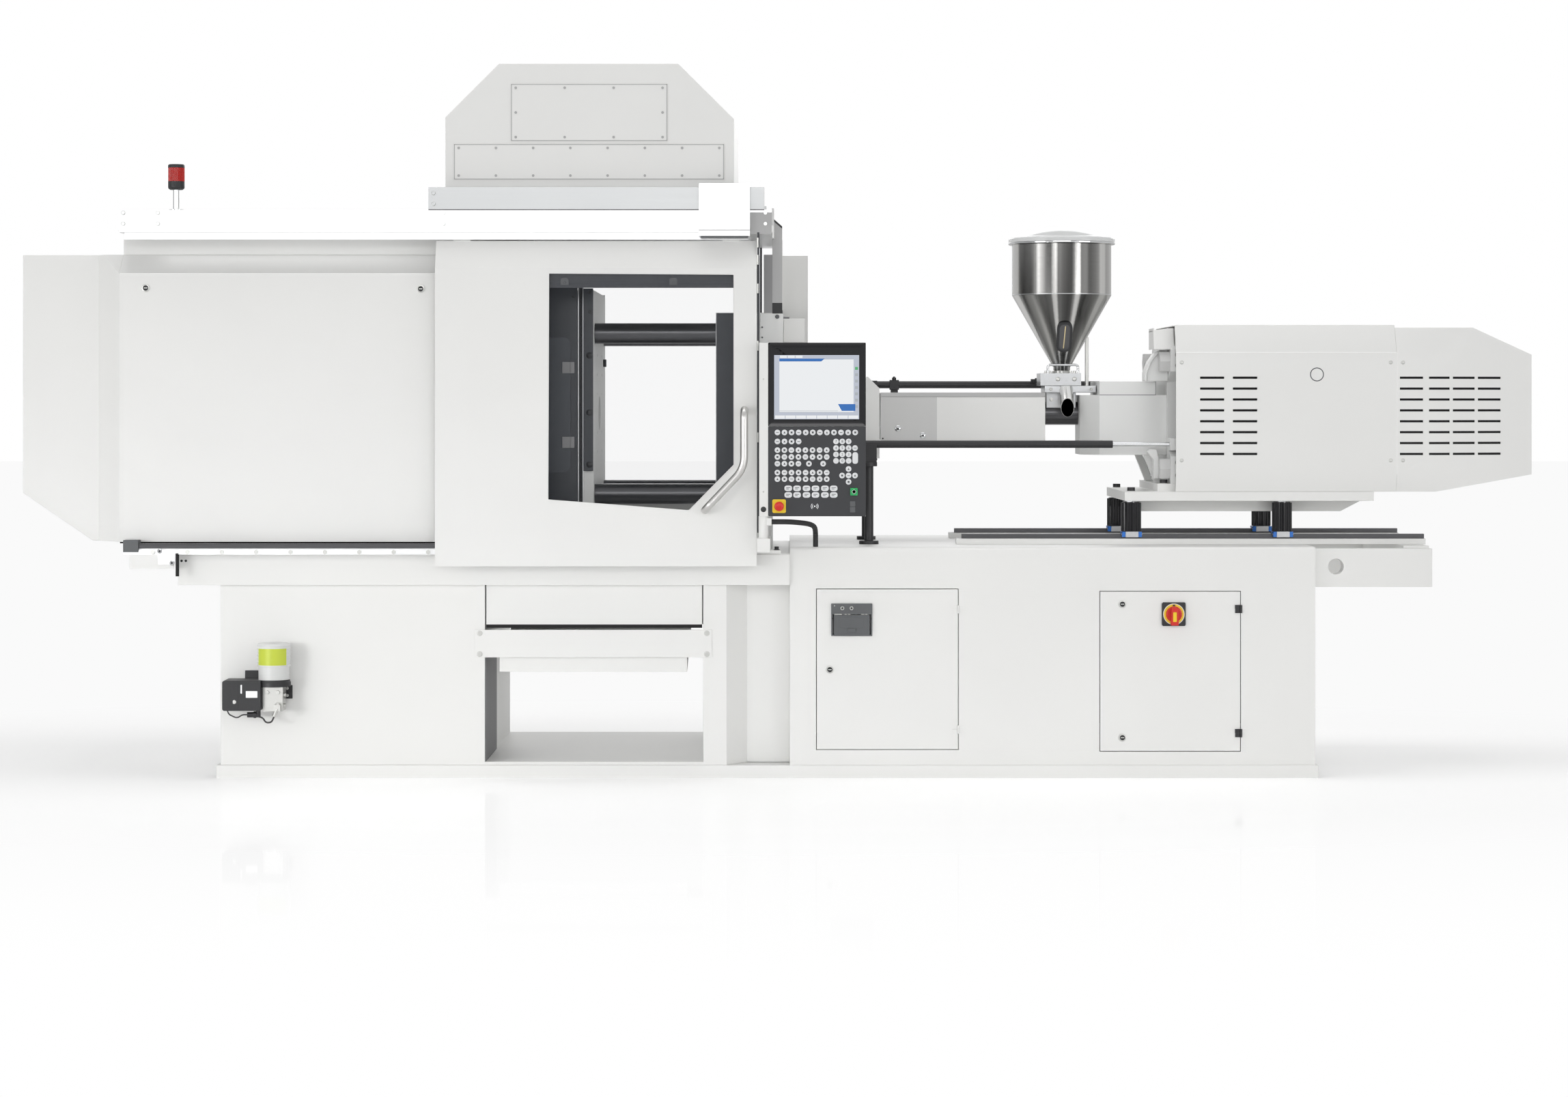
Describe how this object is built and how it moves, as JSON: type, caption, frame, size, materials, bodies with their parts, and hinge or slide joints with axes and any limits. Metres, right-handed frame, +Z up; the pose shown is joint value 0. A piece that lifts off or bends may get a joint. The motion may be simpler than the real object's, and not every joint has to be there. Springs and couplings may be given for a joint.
{
  "type": "injection moulding machine",
  "caption": "Horizontal injection moulding machine: guarded toggle clamp, sliding doors and hood, hopper-fed injection unit on rails and a control panel.",
  "frame": {"origin": "on the floor under the fixed platen's mould face, on the machine's centre plane", "axes": "+X along the machine towards the injection end, +Z up, the operator stands at -Y"},
  "size_m": [5.383, 1.346, 2.508],
  "materials": {
    "painted_white": "fine powder coat",
    "anodised": "satin anodised",
    "stainless": "brushed",
    "ground_steel": "ground and polished",
    "cast": "machined and painted",
    "black_steel": "black satin",
    "dark_plastic": "moulded matt",
    "dark_grey": "satin",
    "gloss_black": "glossy",
    "rubber": "matt",
    "window": "clear, slightly tinted",
    "clear": "clear moulded",
    "grease": "translucent",
    "red": "translucent red",
    "button_red": "glossy",
    "button_green": "glossy"
  },
  "bodies": {
    "frame": {"base_plinth": "black_steel", "clamp_base": "painted_white", "chute_plates": "painted_white", "clamp_bed": "painted_white", "injection_base": "painted_white", "control_modules": "dark_grey", "injection_rails": "ground_steel", "fixed_platen": "cast", "tie_bars": "ground_steel", "clamp_cover": "painted_white", "clamp_end_cover": "painted_white", "roof_beams": "anodised", "guard_posts": "painted_white", "door_rails": "anodised", "signal_beacon": "red", "lubricator_pump": "dark_grey", "lubricator_reservoir": "grease", "lubricator_lines": "rubber", "panel_arm": "black_steel", "panel_hose": "rubber", "nozzle_drive_tubes": "black_steel"},
    "tail_unit": {"tail_platen": "cast", "clamp_motor": "dark_grey"},
    "platen": {"moving_platen": "cast"},
    "ejector_plate": {"ejector": "ground_steel"},
    "rear_link_up": {"upper_rear_link": "cast"},
    "rear_link_low": {"lower_rear_link": "cast"},
    "front_link_up": {"upper_front_link": "cast"},
    "front_link_low": {"lower_front_link": "cast"},
    "clamp_crosshead": {"crosshead": "cast"},
    "drive_link_up": {"upper_crosshead_link": "cast"},
    "drive_link_low": {"lower_crosshead_link": "cast"},
    "front_door": {"front_door_panel": "painted_white", "front_door_window": "window", "front_door_handle": "stainless"},
    "rear_door": {"rear_door_panel": "painted_white"},
    "hood": {"hood_beams": "anodised", "hood_shell": "painted_white", "hood_panels": "painted_white"},
    "left_door": {"left_cabinet_door": "painted_white"},
    "flap": {"service_flap": "dark_plastic"},
    "right_door": {"right_cabinet_door": "painted_white"},
    "switch": {"main_switch": "button_red"},
    "purge": {"purge_guard": "painted_white"},
    "injection_unit": {"carriage": "painted_white", "carriage_blocks": "black_steel", "injection_housing": "cast", "barrel": "stainless", "barrel_guard": "painted_white", "injection_frame": "cast", "injection_cover": "painted_white", "rear_cover": "painted_white"},
    "injection_drive": {"pressure_plate": "cast"},
    "screw": {"plasticising_screw": "ground_steel"},
    "hopper": {"hopper_body": "stainless"},
    "lid": {"hopper_lid": "clear"},
    "panel": {"panel_housing": "painted_white", "panel_face": "gloss_black"},
    "stop": {"emergency_stop": "button_red"},
    "start": {"start_button": "button_green"}
  },
  "joints": [
    {"name": "mould_height", "type": "slide", "parent": "frame", "child": "tail_unit", "axis": [1, 0, 0], "range_m": [-0.1, 0.1]},
    {"name": "clamp_stroke", "type": "slide", "parent": "tail_unit", "child": "platen", "axis": [1, 0, 0], "range_m": [-0.175, 0.185]},
    {"name": "ejector_stroke", "type": "slide", "parent": "platen", "child": "ejector_plate", "axis": [1, 0, 0], "range_m": [0, 0.08]},
    {"name": "rear_link_up_swing", "type": "hinge", "parent": "tail_unit", "child": "rear_link_up", "pos_m": [-1.19, 0, 1.329], "axis": [0, -1, 0], "range_deg": [-17, 16.5]},
    {"name": "rear_link_low_swing", "type": "hinge", "parent": "tail_unit", "child": "rear_link_low", "pos_m": [-1.19, 0, 1.229], "axis": [0, 1, 0], "range_deg": [-17, 16.5]},
    {"name": "front_link_up_swing", "type": "hinge", "parent": "platen", "child": "front_link_up", "pos_m": [-0.72, 0, 1.329], "axis": [0, 1, 0], "range_deg": [-17, 16.5]},
    {"name": "front_link_low_swing", "type": "hinge", "parent": "platen", "child": "front_link_low", "pos_m": [-0.72, 0, 1.229], "axis": [0, -1, 0], "range_deg": [-17, 16.5]},
    {"name": "crosshead_stroke", "type": "slide", "parent": "tail_unit", "child": "clamp_crosshead", "axis": [1, 0, 0], "range_m": [-0.11, 0.12]},
    {"name": "drive_link_up_swing", "type": "hinge", "parent": "clamp_crosshead", "child": "drive_link_up", "pos_m": [-0.93, 0, 1.329], "axis": [0, -1, 0], "range_deg": [-18, 19]},
    {"name": "drive_link_low_swing", "type": "hinge", "parent": "clamp_crosshead", "child": "drive_link_low", "pos_m": [-0.93, 0, 1.229], "axis": [0, 1, 0], "range_deg": [-18, 19]},
    {"name": "front_door_slide", "type": "slide", "parent": "frame", "child": "front_door", "axis": [-1, 0, 0], "range_m": [0, 1.02]},
    {"name": "rear_door_slide", "type": "slide", "parent": "frame", "child": "rear_door", "axis": [-1, 0, 0], "range_m": [0, 1.02]},
    {"name": "hood_slide", "type": "slide", "parent": "frame", "child": "hood", "axis": [-1, 0, 0], "range_m": [0, 0.8]},
    {"name": "left_door_hinge", "type": "hinge", "parent": "frame", "child": "left_door", "pos_m": [0.855, -0.526, 0.381], "axis": [0, 0, 1], "range_deg": [0, 110]},
    {"name": "flap_hinge", "type": "hinge", "parent": "left_door", "child": "flap", "pos_m": [0.481, -0.523, 0.58], "axis": [-1, 0, 0], "range_deg": [0, 100]},
    {"name": "right_door_hinge", "type": "hinge", "parent": "frame", "child": "right_door", "pos_m": [1.848, -0.526, 0.374], "axis": [0, 0, 1], "range_deg": [0, 110]},
    {"name": "switch_turn", "type": "hinge", "parent": "right_door", "child": "switch", "pos_m": [1.612, -0.54, 0.575], "axis": [0, -1, 0], "range_deg": [-90, 0]},
    {"name": "purge_guard_hinge", "type": "hinge", "parent": "frame", "child": "purge", "pos_m": [0.4, 0.154, 1.406], "axis": [-1, 0, 0], "range_deg": [0, 100]},
    {"name": "injection_unit_slide", "type": "slide", "parent": "frame", "child": "injection_unit", "axis": [1, 0, 0], "range_m": [0, 0.25]},
    {"name": "inject_stroke", "type": "slide", "parent": "injection_unit", "child": "injection_drive", "axis": [1, 0, 0], "range_m": [0, 0.16]},
    {"name": "screw_turn", "type": "hinge", "parent": "injection_drive", "child": "screw", "pos_m": [1.5, 0, 1.279], "axis": [1, 0, 0], "continuous": true},
    {"name": "hopper_slide", "type": "slide", "parent": "injection_unit", "child": "hopper", "axis": [0, -1, 0], "range_m": [0, 0.12]},
    {"name": "lid_hinge", "type": "hinge", "parent": "hopper", "child": "lid", "pos_m": [1.262, 0.2, 1.905], "axis": [-1, 0, 0], "range_deg": [0, 95]},
    {"name": "panel_swivel", "type": "hinge", "parent": "frame", "child": "panel", "pos_m": [0.172, -0.67, 1.2], "axis": [0, 0, 1], "range_deg": [-90, 0]},
    {"name": "stop_press", "type": "slide", "parent": "panel", "child": "stop", "axis": [0, 1, 0], "range_m": [0, 0.004], "stiffness_N_per_m": 2500},
    {"name": "start_press", "type": "slide", "parent": "panel", "child": "start", "axis": [0, 1, 0], "range_m": [0, 0.003], "stiffness_N_per_m": 900}
  ],
  "couplings": [
    {"joint": "rear_link_up_swing", "follows": "clamp_stroke", "rad_per_m": -1.5708},
    {"joint": "rear_link_low_swing", "follows": "clamp_stroke", "rad_per_m": -1.5708},
    {"joint": "front_link_up_swing", "follows": "clamp_stroke", "rad_per_m": -1.5708},
    {"joint": "front_link_low_swing", "follows": "clamp_stroke", "rad_per_m": -1.5708},
    {"joint": "crosshead_stroke", "follows": "clamp_stroke", "ratio": 0.56},
    {"joint": "drive_link_up_swing", "follows": "clamp_stroke", "rad_per_m": 1.4835},
    {"joint": "drive_link_low_swing", "follows": "clamp_stroke", "rad_per_m": 1.4835}
  ]
}
